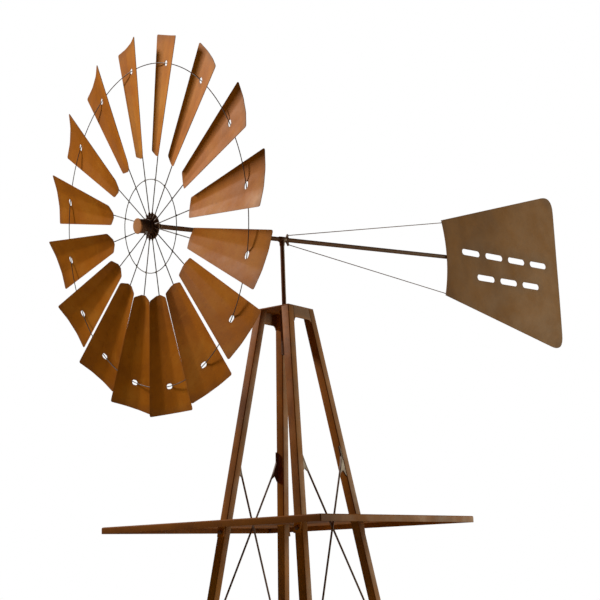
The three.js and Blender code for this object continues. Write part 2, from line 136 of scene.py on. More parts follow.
AXLE_TILT = 4.2
HUB_AHEAD = 22
BLADE_COUNT = 16
BLADE_PITCH = 15
BLADE_THICK = 1.2
BLADE_FORWARD = 2.0
TIP_R = 400  # to the corners of the blades' tips
TIP_HALF = 59
TIP_X = math.sqrt(TIP_R ** 2 - TIP_HALF ** 2)  # the tips are cut straight across
ROOT_R = 148
ROOT_HALF = 22
ROOT_SETBACK = 8  # how much farther out the root's corners are than its middle
ROOT_FLAT = 0.25  # share of the root's width that is cut straight
FLAT_SHARE = 0.34  # half-width of the blade's flat middle strip, as a share of its half chord
TIP_FOLD = 5.4  # how far the folded edges stand forward
ROOT_FOLD = 4.8
HOLE_HALF = (5.5, 8)  # along the blade and across it
SPOKE_R = 1.1
SPOKE_INNER = 15
SPOKE_OUTER = 328
SPOKE_TACKS = (163, 205, 250, 300)  # where each spoke is tacked to its blade
RING_R = 339
RING_WIRE_R = 0.95
INNER_RING_R = 98.5
INNER_RING_FORWARD = 2.35
FLANGE_R = 27
FLANGE_ENDS = (-4.5, -0.5)  # along the axle, like the other pairs of ends here
BARREL_R = 15
BARREL_CAVITY_R = 11.5
BARREL_ENDS = (-0.2, 30.8)
BARREL_GROOVE = (8, 11)
BARREL_BACK = 10  # thickness of its rear wall
HUB_SCREW_Z = 17
HUB_SCREW_WAY = (-0.91, -0.41)
NOSE_R = 16.5
NOSE_ENDS = (31.1, 34.1)
AXLE_END = 16.2
COLLAR_R = 10
COLLAR_ENDS = (-16.8, -4.8)
NUT_R = 9.8
NUT_ENDS = (10.1, 20.1)
BORE_R = ROD_R + 0.4

# camera: its place round the mast's axis and how it is turned, in degrees and metres
CAMERA_AZIMUTH = -52.68
CAMERA_DISTANCE = 2.745
CAMERA_HEIGHT = 1.289
CAMERA_TURN = -0.754
CAMERA_PITCH = 11.962
CAMERA_ROLL = -2.077
CAMERA_LENS = 74.6

# studio: places in metres, powers in watts; the lights face SUBJECT
WORLD_STRENGTH = 0.04
SUBJECT = Vector((0.05, -0.3, 1.75))
KEY_PLACE = SUBJECT + Vector((-0.7, -0.3, 0.65)).normalized() * 5
KEY_SIZE = 0.8
KEY_POWER = 245
PANEL_PLACE = SUBJECT + Vector((2.0, 3.8, 0.3))
PANEL_SIZE = 3.0
PANEL_POWER = 78
FLOOR_HALF = 3.6

# ---- frames -----------------------------------------------------------
JOINTS = {joint["name"]: joint for joint in frame["joints"]}
MAST_FOOT = Vector(JOINTS["head_yaw"]["pos_m"])
HUB = Vector(JOINTS["wheel_spin"]["pos_m"])
HEADING = math.atan2(MAST_FOOT.y - HUB.y, MAST_FOOT.x - HUB.x)
TOWER_TOP = MAST_FOOT.z / MM


def turn(degrees, axis):
    return Matrix.Rotation(math.radians(degrees), 4, axis)


def shift(x, y, z):
    return Matrix.Translation((x, y, z))


TOWER = shift(MAST_FOOT.x, MAST_FOOT.y, 0) @ Matrix.Scale(MM, 4)
HEAD = TOWER @ shift(0, 0, TOWER_TOP + BOOM_ABOVE_TOWER) @ Matrix.Rotation(HEADING, 4, "Z")
BOOM = HEAD @ turn(-BOOM_TILT, "Y")
WHEEL = BOOM @ shift(BOOM_NOSE, 0, 0) @ turn(-90 - AXLE_TILT, "Y") @ shift(0, 0, HUB_AHEAD)


def add_object(name, data):
    obj = bpy.data.objects.new(name, data)
    bpy.context.scene.collection.objects.link(obj)
    return obj


# ---- camera -----------------------------------------------------------
def add_camera():
    azimuth = math.radians(CAMERA_AZIMUTH)
    place = Vector((
        MAST_FOOT.x + CAMERA_DISTANCE * math.cos(azimuth),
        MAST_FOOT.y + CAMERA_DISTANCE * math.sin(azimuth),
        CAMERA_HEIGHT,
    ))
    look = math.radians(CAMERA_AZIMUTH + 180 + CAMERA_TURN)
    level = Vector((math.cos(look), math.sin(look), 0))
    pitch = math.radians(CAMERA_PITCH)
    forward = level * math.cos(pitch) + Vector((0, 0, math.sin(pitch)))
    right = forward.cross(Vector((0, 0, 1))).normalized()
    up = right.cross(forward)
    roll = math.radians(CAMERA_ROLL)
    right, up = (
        right * math.cos(roll) + up * math.sin(roll),
        up * math.cos(roll) - right * math.sin(roll),
    )
    data = bpy.data.cameras.new("camera")
    data.lens = CAMERA_LENS
    data.sensor_width = 36
    data.clip_start = 0.05
    data.clip_end = 100
    camera = add_object("camera", data)
    axes = Matrix((right, up, -forward)).transposed().to_4x4()
    camera.matrix_world = Matrix.Translation(place) @ axes
    bpy.context.scene.camera = camera


add_camera()


# ---- materials --------------------------------------------------------
def linear(colour):
    """A colour given as 0 to 255 display values, as linear light."""
    def channel(value):
        value /= 255
        return value / 12.92 if value <= 0.04045 else ((value + 0.055) / 1.055) ** 2.4

    return (*map(channel, colour), 1)


class Nodes:
    """Short names for building one material's node tree."""

    def __init__(self, name):
        self.material = bpy.data.materials.new(name)
        self.material.use_nodes = True
        self.tree = self.material.node_tree
        self.shader = self.tree.nodes["Principled BSDF"]
        self.place = self.add("ShaderNodeTexCoord").outputs["Object"]

    def add(self, kind, **values):
        node = self.tree.nodes.new(kind)
        for key, value in values.items():
            setattr(node, key, value)
        return node

    def link(self, source, target):
        self.tree.links.new(source, target)

    def noise(self, scale, detail, roughness, stretch=None, warp=0.0):
        source = self.place
        if stretch:
            mapping = self.add("ShaderNodeMapping")
            mapping.inputs["Scale"].default_value = stretch
            self.link(source, mapping.inputs["Vector"])
            source = mapping.outputs["Vector"]
        node = self.add("ShaderNodeTexNoise")
        node.inputs["Scale"].default_value = scale
        node.inputs["Detail"].default_value = detail
        node.inputs["Roughness"].default_value = roughness
        node.inputs["Distortion"].default_value = warp
        self.link(source, node.inputs["Vector"])
        return node.outputs["Fac"]

    def ramp(self, source, *stops):
        """Stops are (position, colour) pairs in rising order."""
        node = self.add("ShaderNodeValToRGB")
        elements = node.color_ramp.elements
        while len(elements) < len(stops):
            elements.new(0.5)
        for element, (position, colour) in zip(elements, stops):
            element.position = position
            element.color = colour
        self.link(source, node.inputs["Fac"])
        return node.outputs["Color"]

    def grey(self, source, low, high, dark=0.0, bright=1.0):
        return self.ramp(source, (low, (dark, dark, dark, 1)), (high, (bright, bright, bright, 1)))

    def mix(self, share, first, second):
        node = self.add("ShaderNodeMix", data_type="RGBA")
        for value, socket in ((share, 0), (first, 6), (second, 7)):
            if isinstance(value, (int, float, tuple)):
                node.inputs[socket].default_value = value
            else:
                self.link(value, node.inputs[socket])
        return node.outputs[2]

    def bump(self, height, strength, distance, under=None):
        node = self.add("ShaderNodeBump")
        node.inputs["Strength"].default_value = strength
        node.inputs["Distance"].default_value = distance
        self.link(height, node.inputs["Height"])
        if under:
            self.link(under, node.inputs["Normal"])
        return node.outputs["Normal"]


def rusted(name, dark, base, bright, edge, *, patch, specular, streaks=0.0,
           roughness=(0.42, 0.62), grain=0.35):
    """Weathered steel: broad tone, patches of thicker rust, runs, pitting and edges mixed towards
    an edge colour.
    """
    dark, base, bright, edge = map(linear, (dark, base, bright, edge))
    n = Nodes(name)
    broad = n.noise(patch, 5, 0.6, warp=0.4)
    colour = n.ramp(broad, (0.3, dark), (0.5, base), (0.72, bright))
    flecks = n.noise(patch * 14, 6, 0.7)
    colour = n.mix(n.grey(flecks, 0.56, 0.72, 0, 0.55), colour, dark)
    pale = n.noise(patch * 5, 5, 0.65, warp=0.8)
    colour = n.mix(n.grey(pale, 0.58, 0.74, 0, 0.4), colour, bright)
    if streaks:
        runs = n.noise(38, 4, 0.6, stretch=(1, 1, 0.07))
        colour = n.mix(n.grey(runs, 0.5, 0.68, 0, streaks), colour, dark)
    geometry = n.add("ShaderNodeNewGeometry")
    # convex edges take the edge colour: darker than the base on the sheets, tower and deck,
    # lighter on the rods, braces and fittings
    edge_tint = n.grey(geometry.outputs["Pointiness"], 0.52, 0.6, 0, 0.6)
    colour = n.mix(edge_tint, colour, edge)
    n.link(colour, n.shader.inputs["Base Color"])
    fine = n.noise(900, 3, 0.6)
    pits = n.noise(260, 5, 0.65)
    sheen = n.noise(patch * 3, 4, 0.6)
    low, high = roughness
    n.link(n.grey(sheen, 0.35, 0.7, low, high), n.shader.inputs["Roughness"])
    rough_height = n.mix(0.5, n.grey(pits, 0.4, 0.75), fine)
    normal = n.bump(rough_height, grain, 0.0004)
    normal = n.bump(broad, grain * 0.5, 0.004, under=normal)
    n.link(normal, n.shader.inputs["Normal"])
    n.shader.inputs["Specular IOR Level"].default_value = specular
    return n.material


def weld_metal(name, dark, bright):
    """Rippled weld metal, browned like the rest but with a duller, coarser skin."""
    n = Nodes(name)
    tone = n.noise(120, 5, 0.6)
    colour = n.ramp(tone, (0.35, linear(dark)), (0.7, linear(bright)))
    n.link(colour, n.shader.inputs["Base Color"])
    normal = n.bump(n.noise(1400, 4, 0.6), 0.4, 0.0003)
    n.link(normal, n.shader.inputs["Normal"])
    n.shader.inputs["Roughness"].default_value = 0.6
    n.shader.inputs["Specular IOR Level"].default_value = 0.35
    return n.material


DARK_EDGE = (70, 38, 16)
STEEL = {
    "blade_steel": rusted(
        "blade_rust", (162, 90, 4), (192, 111, 8), (210, 136, 40),
        (150, 92, 40), patch=6, roughness=(0.5, 0.66), specular=0.1, grain=0.25,
    ),
    "vane_steel": rusted(
        "vane_rust", (124, 78, 22), (142, 91, 26), (152, 99, 35),
        (110, 72, 40), patch=5, roughness=(0.5, 0.66), specular=0.15, grain=0.25,
    ),
    "tower_steel": rusted(
        "tower_rust", (110, 63, 2), (158, 93, 3), (182, 113, 9),
        DARK_EDGE, patch=5, streaks=0.5, roughness=(0.5, 0.68), specular=0.15,
    ),
    "deck_steel": rusted(
        "deck_rust", (108, 58, 4), (141, 79, 6), (163, 96, 14),
        DARK_EDGE, patch=6, roughness=(0.55, 0.72), specular=0.13,
    ),
    "brace_steel": rusted(
        "brace_rust", (72, 48, 34), (96, 64, 46), (120, 84, 62),
        (120, 84, 60), patch=16, specular=0.35,
    ),
    "rod_steel": rusted(
        "rod_rust", (56, 30, 10), (84, 47, 15), (110, 64, 26),
        (110, 72, 40), patch=14, specular=0.2,
    ),
    "fitting_steel": rusted(
        "fitting_rust", (40, 22, 10), (66, 36, 15), (98, 58, 28),
        (130, 86, 50), patch=24, specular=0.4,
    ),
    "wheel_wire": rusted(
        "wire_rust", (70, 60, 50), (96, 84, 72), (124, 110, 96),
        (92, 74, 60), patch=20, specular=0.35,
    ),
}
# Pale rust of the hub's nose plate and the mast bush: their own pale rust, brightened further as
# painted light for a face the key barely reaches
NOSE_RUST_PAINTED_LIGHT = rusted(
    "nose_rust_painted_light", (200, 124, 62), (228, 152, 90), (240, 176, 118),
    (120, 74, 38), patch=20, specular=0.3, grain=0.25,
)
WELD = weld_metal("weld_rust", (60, 36, 18), (120, 78, 42))
# Light bare steel for the hub's set screw, its colour pushed near white as a painted glint
SCREW_STEEL_PAINTED_GLINT = weld_metal("screw_steel_painted_glint", (176, 170, 160), (228, 222, 212))


# ---- meshes: a shape is (points, faces), in the millimetres of its own frame ----
def merged(*shapes):
    points, faces = [], []
    for shape_points, shape_faces in shapes:
        start = len(points)
        points += shape_points
        faces += [tuple(i + start for i in face) for face in shape_faces]
    return points, faces


def moved(shape, matrix):
    return [matrix @ Vector(p) for p in shape[0]], shape[1]


def loft(loops, closed=False):
    """Skin over loops of equal length. Open stacks of loops get flat end faces."""
    size = len(loops[0])
    points = [Vector(p) for loop in loops for p in loop]
    faces = []
    rows = len(loops)
    for row in range(rows if closed else rows - 1):
        near = row * size
        far = ((row + 1) % rows) * size
        for i in range(size):
            j = (i + 1) % size
            faces.append((near + i, near + j, far + j, far + i))
    if not closed:
        faces.append(tuple(reversed(range(size))))
        faces.append(tuple(range((rows - 1) * size, rows * size)))
    return points, faces


def circle(radius, z, sides):
    step = 2 * math.pi / sides
    return [(radius * math.cos(i * step), radius * math.sin(i * step), z) for i in range(sides)]


def lathe(profile, sides, closed=False):
    """Turned about Z from (radius, z) pairs that rise in z. Closed profiles make a tube."""
    return loft([circle(radius, z, sides) for radius, z in profile], closed)


def turned(radius, low, high, chamfer, sides=48):
    """Round bar about Z with both of its ends chamfered."""
    return lathe(
        [(radius - chamfer, low), (radius, low + chamfer),
         (radius, high - chamfer), (radius - chamfer, high)], sides,
    )


def turned_tube(inner, outer, low, high, chamfer, sides=48):
    """Tube about Z with its outer edges chamfered."""
    return lathe(
        [(outer - chamfer, low), (outer, low + chamfer), (outer, high - chamfer),
         (outer - chamfer, high), (inner, high), (inner, low)], sides, closed=True,
    )


def facing(start, end):
    """Matrix that lays +Z along the way from start to end, with its origin at start."""
    way = Vector(end) - Vector(start)
    return Matrix.Translation(start) @ way.to_track_quat("Z", "X").to_matrix().to_4x4()


def rod(start, end, radius):
    """Straight round wire with its two ends chamfered."""
    length = (Vector(end) - Vector(start)).length
    return moved(turned(radius, 0, length, min(0.5, radius * 0.4), 12), facing(start, end))


def sweep(path, radii, sides, closed=False):
    """Round section carried along a path, with one radius for each point."""
    path = [Vector(p) for p in path]
    count = len(path)
    loops = []
    side = None
    for i, point in enumerate(path):
        before = path[i - 1] if closed or i else point
        after = path[(i + 1) % count] if closed or i < count - 1 else point
        way = (after - before).normalized()
        if side is None:
            side = way.orthogonal().normalized()
        side = (side - way * side.dot(way)).normalized()
        other = way.cross(side)
        loops.append([
            point + radii[i] * (side * math.cos(a) + other * math.sin(a))
            for a in (2 * math.pi * k / sides for k in range(sides))
        ])
    return loft(loops, closed)


def hoop(radius, wire, z, segments):
    """Wire bent to a ring about Z."""
    return sweep(circle(radius, z, segments), [wire] * segments, 10, closed=True)


def bead(start, end, size, seed):
    """Straight weld bead with the ripples of its passes and tapered ends."""
    start, end = Vector(start), Vector(end)
    length = (end - start).length
    steps = max(5, int(length / (size * 0.45)))
    dice = random.Random(seed)
    path, radii = [], []
    for i in range(steps + 1):
        t = i / steps
        wobble = Vector([dice.uniform(-1, 1) for _ in range(3)]) * size * 0.1
        path.append(start.lerp(end, t) + wobble)
        taper = min(1, 4 * t + 0.35, 4 * (1 - t) + 0.35)
        radii.append(size * taper * (1 + 0.13 * (i % 2) + dice.uniform(-0.07, 0.07)))
    return sweep(path, radii, 8)


def blob(centre, radii, seed, rings=7, sides=12):
    """Lump of weld metal: a ball pressed to three half-axes, with an uneven skin."""
    loops = []
    for i in range(rings + 1):
        polar = math.pi * (0.04 + 0.92 * i / rings)
        loop = []
        for k in range(sides):
            a = 2 * math.pi * k / sides
            way = Vector((math.sin(polar) * math.cos(a), math.sin(polar) * math.sin(a),
                          -math.cos(polar)))
            lump = 1 + 0.16 * noise.noise(way * 1.7 + Vector((seed * 3.1, 0.7, 0.3)))
            loop.append(Vector(centre) + lump * Vector(radii) * way)
        loops.append(loop)
    return loft(loops)


def slab(outline, thick, bevel):
    """Plate from a counter-clockwise outline in XY, from z = 0 up, with its edges eased."""
    count = len(outline)

    def loop(ease, z):
        points = []
        for i, p in enumerate(outline):
            before, after = Vector(outline[i - 1]), Vector(outline[(i + 1) % count])
            here = Vector(p)
            edge_in, edge_out = (here - before).normalized(), (after - here).normalized()
            inward = Vector((-edge_in.y - edge_out.y, edge_in.x + edge_out.x)).normalized()
            points.append((*(here + inward * ease), z))
        return points

    return loft([loop(bevel, 0), loop(0, bevel), loop(0, thick - bevel), loop(bevel, thick)])


def rounded_square(half_x, half_y, corner, z=0.0, steps=4):
    points = []
    for sx, sy, start in ((1, 1, 0), (-1, 1, 90), (-1, -1, 180), (1, -1, 270)):
        for k in range(steps + 1):
            a = math.radians(start + 90 * k / steps)
            points.append((sx * (half_x - corner) + corner * math.cos(a),
                           sy * (half_y - corner) + corner * math.sin(a), z))
    return points


def between(start, end, steps):
    """Evenly spaced points on the way from start to end, without the two ends."""
    return [Vector(start).lerp(Vector(end), k / steps) for k in range(1, steps)]


def arch(start, middle, end, steps):
    """Points of the curve from start to end that is drawn towards the middle point."""
    start, middle, end = Vector(start), Vector(middle), Vector(end)
    points = []
    for k in range(steps + 1):
        t = k / steps
        points.append(start * (1 - t) ** 2 + middle * 2 * t * (1 - t) + end * t * t)
    return points


def rounded_corner(before, corner, after, radius, steps=5):
    """Points that round the corner, from the side of before to the side of after."""
    corner = Vector(corner)
    start = corner + (Vector(before) - corner).normalized() * radius
    end = corner + (Vector(after) - corner).normalized() * radius
    return arch(start, corner, end, steps)


def bent(path, reach):
    """The path with each inner corner rounded, starting reach away from it."""
    points = [Vector(path[0])]
    for before, corner, after in zip(path, path[1:], path[2:]):
        points += rounded_corner(before, corner, after, reach)
    return [*points, Vector(path[-1])]


def inside(point, polygon):
    x, y = point
    odd = False
    for i, (x1, y1) in enumerate(polygon):
        x0, y0 = polygon[i - 1]
        if (y0 > y) != (y1 > y) and x < (x1 - x0) * (y - y0) / (y1 - y0) + x0:
            odd = not odd
    return odd


def clearance(point, polygon):
    """Distance to the nearest of the polygon's points."""
    return min((Vector(point) - Vector(q)).length for q in polygon)


def band(loops):
    """Open surface through loops that all have the same number of points."""
    size = len(loops[0])
    points = [Vector(p) for loop in loops for p in loop]
    faces = []
    for k in range(len(loops) - 1):
        for i in range(size):
            j = (i + 1) % size
            faces.append((k * size + j, k * size + i, (k + 1) * size + i, (k + 1) * size + j))
    return points, faces


def joined_up(shape):
    """The same shape with points that coincide made one."""
    points, faces = shape
    kept, places, index = [], {}, []
    for p in points:
        key = tuple(round(c, 3) for c in p)
        if key not in places:
            places[key] = len(kept)
            kept.append(Vector(p))
        index.append(places[key])
    return kept, [tuple(index[i] for i in face) for face in faces]


def outward(shape):
    """The same closed shape with its faces turned to look outwards."""
    points, faces = shape
    volume = 0.0
    for face in faces:
        a = Vector(points[face[0]])
        for i in range(1, len(face) - 1):
            volume += a.dot(Vector(points[face[i]]).cross(Vector(points[face[i + 1]])))
    return shape if volume > 0 else (points, [tuple(reversed(face)) for face in faces])


def flat_sheet(outline, holes, inner, margin):
    """Points and triangles of an outline with holes, through the inner points clear of its rim."""
    def in_metal(p):
        return inside(p, outline) and not any(inside(p, hole) for hole in holes)

    rings = [outline, *holes]
    points, edges = [], []
    for ring in rings:
        start = len(points)
        points += [Vector(p) for p in ring]
        edges += [(start + i, start + (i + 1) % len(ring)) for i in range(len(ring))]
    points += [
        Vector(p) for p in inner
        if in_metal(p) and all(clearance(p, ring) > margin for ring in rings)
    ]
    flat, _, triangles, *_ = delaunay_2d_cdt(points, edges, [], 0, 1e-6)
    kept = []
    for face in triangles:
        centre = sum((flat[i] for i in face), Vector((0, 0))) / len(face)
        if in_metal(centre):
            kept.append(tuple(face))
    return flat, kept


def sheet(outline, holes, inner, height, thick, margin, open_rim=False):
    """Sheet metal cut to an outline with holes.

    height(x, y) bends it, and inner holds the points that it may bend at. An open rim leaves out
    the narrow faces along the outline, for an edge that folds over.
    """
    flat, kept = flat_sheet(outline, holes, inner, margin)
    used = {edge: True for face in kept for edge in zip(face, (*face[1:], face[0]))}
    rim = [edge for edge in used if (edge[1], edge[0]) not in used]
    if open_rim:
        rim = [edge for edge in rim if clearance(flat[edge[0]], outline) > 0.01]
    size = len(flat)
    verts = []
    for side in (0.5, -0.5):
        verts += [Vector((p.x, p.y, height(p.x, p.y) + side * thick)) for p in flat]
    faces = list(kept)
    faces += [tuple(i + size for i in reversed(face)) for face in kept]
    faces += [(b, a, a + size, b + size) for a, b in rim]
    return verts, faces


def mesh_object(name, shape, material):
    points, faces = shape
    mesh = bpy.data.meshes.new(name)
    mesh.from_pydata(points, [], faces)
    mesh.materials.append(material)
    return add_object(name, mesh)


def piece(name, body, slot, shape, matrix, replaces=(), material=None, sharp=32):
    """Makes a mesh object of the shape, in the shared frame, riding on its CAD body."""
    obj = mesh_object(name, moved(shape, matrix), material or STEEL[slot])
    mesh = obj.data
    mesh.polygons.foreach_set("use_smooth", [True] * len(mesh.polygons))
    mesh.set_sharp_from_angle(angle=math.radians(sharp))
    mesh.update()
    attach(obj, body)
    if replaces:
        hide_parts(*replaces)


# ---- tower ------------------------------------------------------------
SIDES = {"left": -1, "right": 1}
ENDS = {"front": -1, "rear": 1}
ROUND = ((1, 1), (-1, 1), (-1, -1), (1, -1))  # signs of the four corners, in turn


def half_width(z):
    """From the tower's axis to the outer faces of its legs."""
    return TOWER_TOP_HALF + TOWER_TAPER * (TOWER_TOP - z)


def leg_edge(z):
    """How far the inner edge of a leg's tube stands from the tower's axis."""
    return half_width(z) - LEG_SIZE


def corners():
    for end_name, sy in ENDS.items():
        for side_name, sx in SIDES.items():
            yield f"{end_name}_{side_name}", sx, sy


def leg(name, sx, sy):
    loops = []
    levels = [FOOT_THICK + 0.1, FOOT_THICK + 1, TOWER_TOP - PLATE - 1, TOWER_TOP - PLATE - 0.1]
    for level, ease in zip(levels, (0.5, 0, 0, 0.3)):
        half = LEG_SIZE / 2 - ease
        middle = half_width(level) - LEG_SIZE / 2
        loop = rounded_square(half, half, LEG_CORNER, level, 5)
        loops.append([(x + sx * middle, y + sy * middle, z) for x, y, z in loop])
    piece(f"leg_tube_{name}", "tower", "tower_steel", loft(loops), TOWER, [f"leg_{name}"])


def foot(name, sx, sy):
    middle = half_width(0) - LEG_SIZE / 2
    half = FOOT_SIZE / 2
    outline = [(x, y) for x, y, _ in rounded_square(half, half, FOOT_CORNER, 0, 6)]
    hole = [
        (sx * FOOT_HOLE_OFFSET + x, sy * FOOT_HOLE_OFFSET + y)
        for x, y, _ in circle(FOOT_HOLE_R, 0, 28)
    ]
    plate = sheet(outline, [hole], [], lambda x, y: FOOT_THICK / 2, FOOT_THICK, 1)
    place = TOWER @ shift(sx * middle, sy * middle, 0)
    piece(f"foot_plate_{name}", "tower", "tower_steel", plate, place, [f"foot_{name}"])
    reach = LEG_SIZE / 2 + 0.6
    height = Vector((0, 0, FOOT_THICK + 0.9))
    ends = [Vector((x * reach, y * reach, 0)) for x, y in ROUND]
    welds = []
    for i, near in enumerate(ends):
        far = ends[(i + 1) % 4]
        out = (near + far) / 2 * 0.1
        start, end = near * 0.9 + height + out, far * 0.9 + height + out
        welds.append(bead(start, end, WELD_R["foot"], seed=i + 5))
    piece(f"foot_weld_{name}", "tower", "tower_steel", merged(*welds), place, material=WELD)


def cap_flange(sx):
    """Flange on one face: straight lower edge that runs down the legs in a round fillet."""
    reach = leg_edge(TOWER_TOP - BAND_DEPTH / 2) + 0.95
    low = TOWER_TOP - BAND_DEPTH
    steps = 8
    right = []
    for k in range(steps + 1):
        a = math.radians(90 * k / steps)
        y = reach - BAND_ROUND * (1 - math.sin(a))
        z = low - BAND_ROUND * (1 - math.cos(a))
        spread = (TOWER_TOP - z) * TOWER_TAPER * math.sin(a) ** 2 * BAND_SPREAD
        right.append((y + spread, z))
    left = [(-y, z) for y, z in reversed(right)]
    top = TOWER_TOP - PLATE + 0.6
    top_reach = leg_edge(TOWER_TOP) + 0.5
    ring = [*left, *right, (top_reach, top), (-top_reach, top)]
    if sx < 0:
        ring.reverse()
    return loft([
        [(sx * (half_width(z) - inset - 0.02), y, z) for y, z in ring] for inset in (PLATE, 0)
    ])


def cap():
    under = TOWER_TOP - PLATE
    loops = []
    levels = ((under, 0.35), (under + 0.5, 0), (TOWER_TOP - 0.5, 0), (TOWER_TOP, 0.4))
    for level, ease in levels:
        half = half_width(level) - ease
        loops.append(rounded_square(half, half, LEG_CORNER, level, 5))
    shape = merged(loft(loops), cap_flange(1), cap_flange(-1))
    piece("cap_plate", "tower", "tower_steel", shape, TOWER, ["cap_channel"], sharp=28)


def mast_bearing():
    top = TOWER_TOP - PLATE - GAP
    socket = turned(SOCKET_R, top - SOCKET_DEPTH, top, 1)
    piece("mast_socket_tube", "tower", "fitting_steel", socket, TOWER, ["mast_socket"])
    low = TOWER_TOP + GAP
    high = low + BUSH_THICK
    profile = [
        (BUSH_R - 0.2, low), (BUSH_R, low + 0.6), (BUSH_R, high - 1.4),
        (BUSH_R - 0.5, high - 0.5), (BUSH_R - 1.0, high), (BORE_R, high), (BORE_R, low),
    ]
    bush = lathe(profile, 48, closed=True)
    # the bush shares the nose plate's pale rust, which carries painted light
    piece("mast_bush_ring", "tower", "fitting_steel", bush, TOWER, ["mast_bush"], NOSE_RUST_PAINTED_LIGHT)


def deck_holes():
    """Outlines of the holes for the four legs and for the two brace crosses."""
    middle = half_width(DECK_TOP) - LEG_SIZE / 2
    half = LEG_SIZE / 2 + DECK_HOLE_CLEARANCE
    holes = []
    for _, sx, sy in corners():
        ring = rounded_square(half, half, 1.6)
        holes.append([(x + sx * middle, y + sy * middle) for x, y, _ in ring])
    for sx in SIDES.values():
        ring = rounded_square(ROD_HOLE[0] / 2, ROD_HOLE[1] / 2, 4)
        holes.append([(x + sx * (middle + BRACE_OUTSET), y) for x, y, _ in ring])
    return holes


def deck_profile():
    """(half width, height) round the deck's rim: over the fold, down the edge and up inside."""
    low, top = DECK_TOP - DECK_EDGE, DECK_TOP
    outer, inner = DECK_HALF, DECK_HALF - DECK_SHEET
    steps = 5
    profile = []
    for k in range(steps + 1):
        a = math.radians(90 * k / steps)
        profile.append((
            outer - DECK_FOLD * (1 - math.sin(a)), top - DECK_FOLD * (1 - math.cos(a)),
        ))
    return [
        *profile, (outer, low + 0.4), (outer - 0.4, low), (inner + 0.4, low), (inner, low + 0.4),
        (inner, top - DECK_SHEET - 0.8), (outer - DECK_FOLD, top - DECK_SHEET),
    ]


def deck():
    skirt = [rounded_square(half, half, DECK_CORNER, z) for half, z in deck_profile()]
    plate = sheet([(x, y) for x, y, _ in skirt[0]], deck_holes(), [],
                  lambda x, y: DECK_TOP - DECK_SHEET / 2, DECK_SHEET, 1, open_rim=True)
    tray = joined_up(merged(plate, band(skirt)))
    piece("deck_tray", "tower", "deck_steel", tray, TOWER, ["deck"])
    reach = DECK_HALF - DECK_SHEET - 1.2
    low, high = DECK_TOP - DECK_EDGE + 1.5, DECK_TOP - 4
    welds = []
    for k, (sx, sy) in enumerate(ROUND):
        x, y = sx * reach, sy * reach
        welds.append(bead((x, y, low), (x, y, high), WELD_R["deck"], seed=k + 30))
    piece("deck_corner_welds", "tower", "deck_steel", merged(*welds), TOWER, material=WELD)


def hex_radius(angle, corner_radius):
    step = math.pi / 3
    return corner_radius * math.cos(step / 2) / math.cos((angle % step) - step / 2)


def hex_head(radius, height, hollow=0.0):
    """Hexagon with the turned chamfer of a nut or bolt head on its outer end."""
    sides = 48
    levels = [(0.0, 0.06), (0.05, 0.0), (0.8, 0.0), (0.93, 0.07), (1.0, 0.16)]
    loops = []
    for share, ease in levels:
        loop = []
        for k in range(sides):
            a = 2 * math.pi * k / sides
            r = min(hex_radius(a, radius), radius * (1 - ease))
            loop.append((r * math.cos(a), r * math.sin(a), share * height))
        loops.append(loop)
    if hollow:
        loops.append(circle(hollow, height, sides))
        loops.append(circle(hollow * 0.92, height * 0.7, sides))
    return loft(loops)


def deck_clip(name, sx, sy):
    """Angle clip: upright against the leg, shelf under the deck sheet, with its bolt."""
    top = DECK_TOP - DECK_SHEET - GAP
    width = LEG_SIZE - 2
    reach = half_width(top) + CLIP_REACH
    near = [half_width(z) + GAP for z in (top - CLIP_DROP, top)]
    section = [
        (near[0], top - CLIP_DROP), (near[0] + PLATE, top - CLIP_DROP),
        (near[1] + PLATE, top - PLATE - 2), (near[1] + PLATE + 2, top - PLATE),
        (reach, top - PLATE), (reach, top), (near[1], top),
    ]
    middle = half_width(top - CLIP_DROP / 2) - LEG_SIZE / 2
    loops = []
    for across in (-width / 2, width / 2):
        loops.append([(sx * middle + across, sy * y, z) for y, z in section])
    shape = loft(loops if sy < 0 else list(reversed(loops)))
    piece(f"deck_angle_{name}", "tower", "tower_steel", shape, TOWER, [f"deck_clip_{name}"])
    z = top - CLIP_DROP * 0.6
    x, y = sx * middle, sy * (half_width(z) + PLATE + GAP)
    head = moved(hex_head(*CLIP_BOLT), facing((x, y, z), (x, y + sy, z)))
    piece(f"clip_bolt_{name}", "tower", "fitting_steel", head, TOWER)


def brace(name, low, high, sx, sy):
    """Rod up towards the sy end, laid along the leg at both ends, its corners filled by weld."""
    def beside_leg(z, side, clear=BRACE_CLEARANCE):
        out = half_width(z) - LEG_SIZE / 2 + BRACE_OUTSET + sy * BRACE_STAGGER
        return (sx * out, side * (leg_edge(z) - clear), z)

    start, stop = beside_leg(low, -sy), beside_leg(high, sy)
    ends = beside_leg(low - BRACE_LAP, -sy), beside_leg(high + BRACE_LAP, sy)
    path = bent([ends[0], start, stop, ends[1]], BRACE_BEND)
    shapes = [sweep(path, [BRACE_R + 0.2] * len(path), 14)]
    for z, side, way in ((low, -sy, -1), (high, sy, 1)):
        near = beside_leg(z - way * 6, side, 0.4)
        far = beside_leg(z + way * (BRACE_LAP - 1), side, 0.6)
        shapes.append(bead(near, far, WELD_R["brace"], seed=int(z) + side))
        along = (Vector(stop) - Vector(start)).normalized() * -way
        corner = Vector(beside_leg(z + way * 14, side, 0.4))
        on_leg = Vector(beside_leg(z - way * BRACE_WEB, side, 0.4))
        on_rod = Vector(beside_leg(z, side)) + along * BRACE_WEB
        hollow = (on_leg + on_rod).lerp(corner * 2, 0.22) / 2
        shapes.append(outward(loft([
            [p + Vector((offset, 0, 0)) for p in (corner, on_leg, hollow, on_rod)]
            for offset in (-1.7, 1.7)
        ])))
    piece(f"rod_{name}", "tower", "brace_steel", merged(*shapes), TOWER, [name])


